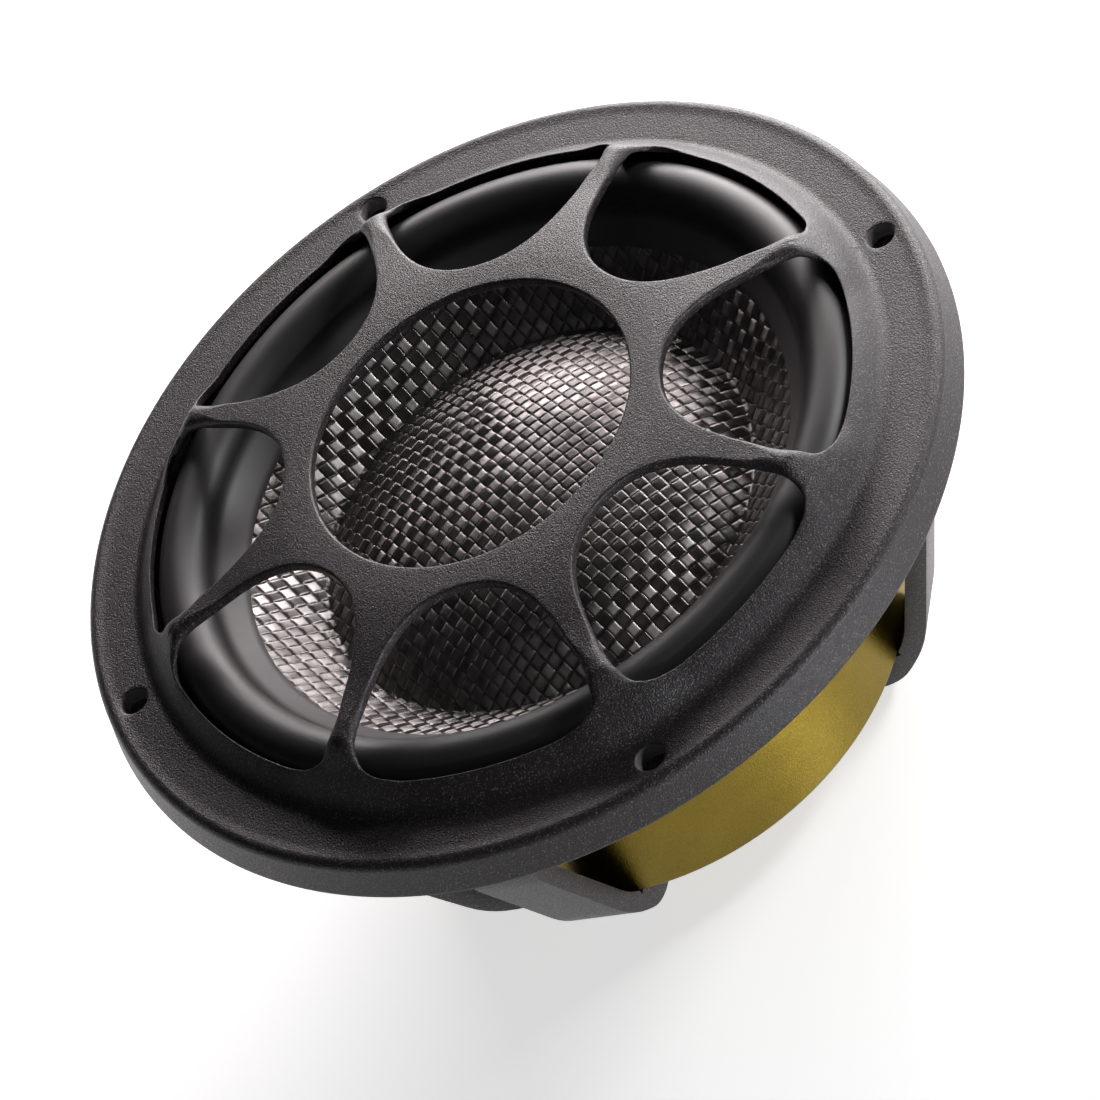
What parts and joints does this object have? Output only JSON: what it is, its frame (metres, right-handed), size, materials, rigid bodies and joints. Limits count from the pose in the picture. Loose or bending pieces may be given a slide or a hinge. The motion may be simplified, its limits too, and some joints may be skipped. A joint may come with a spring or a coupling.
{
  "type": "car midwoofer speaker",
  "caption": "Car loudspeaker with a woven carbon cone and centre dome behind an eight-armed cast guard, an open six-legged chassis and an olive-gold motor cup.",
  "frame": {"origin": "centre of the four mounting holes, on the rear face of the flange", "axes": "+Z along the cone's axis towards the listener; +X and +Y each run through a mounting hole; the terminals are near +Y"},
  "size_m": [0.17, 0.17, 0.0846],
  "materials": {
    "powder_coat": "fine-grain satin powder coat",
    "black_steel": "black oxide",
    "foam_rubber": "closed-cell foam",
    "gold_steel": "olive-gold satin plating",
    "steel": "turned",
    "ferrite": "matte",
    "aluminium": "satin",
    "nickel": "nickel plate",
    "brass": "turned",
    "black_plastic": "matte",
    "spider_cloth": "resin-stiffened weave",
    "woven_carbon": "coated plain weave",
    "copper_wire": "enamelled",
    "epoxy": "cured glue",
    "paper": "kraft paper",
    "rubber": "satin",
    "fibre_board": "phenolic board",
    "tinned_brass": "tin plate",
    "tinsel": "braided tinsel over cotton"
  },
  "bodies": {
    "frame": {"bridge_rivets": "brass", "chassis": "powder_coat", "core_sleeve": "brass", "ferrite_magnet": "ferrite", "gasket": "foam_rubber", "guard": "powder_coat", "guard_screws": "black_steel", "lead_negative": "tinsel", "lead_positive": "tinsel", "motor_cup": "gold_steel", "motor_screws": "black_steel", "neo_magnet": "nickel", "pole_plate": "steel", "pole_ring": "steel", "shorting_ring": "aluminium", "spider": "spider_cloth", "spider_ring": "black_plastic", "surround": "rubber", "terminal_board": "fibre_board", "terminal_negative": "tinned_brass", "terminal_positive": "tinned_brass", "terminal_rivets": "brass", "vent_screen": "steel"},
    "cone": {"cone": "woven_carbon", "former": "aluminium", "winding": "copper_wire", "coupler": "epoxy", "collar": "paper"}
  },
  "joints": [
    {"name": "cone_travel", "type": "slide", "parent": "frame", "child": "cone", "axis": [0, 0, 1], "range_m": [-0.005, 0.005], "stiffness_N_per_m": 1000, "deforming": ["surround", "spider", "lead_positive", "lead_negative"]}
  ]
}
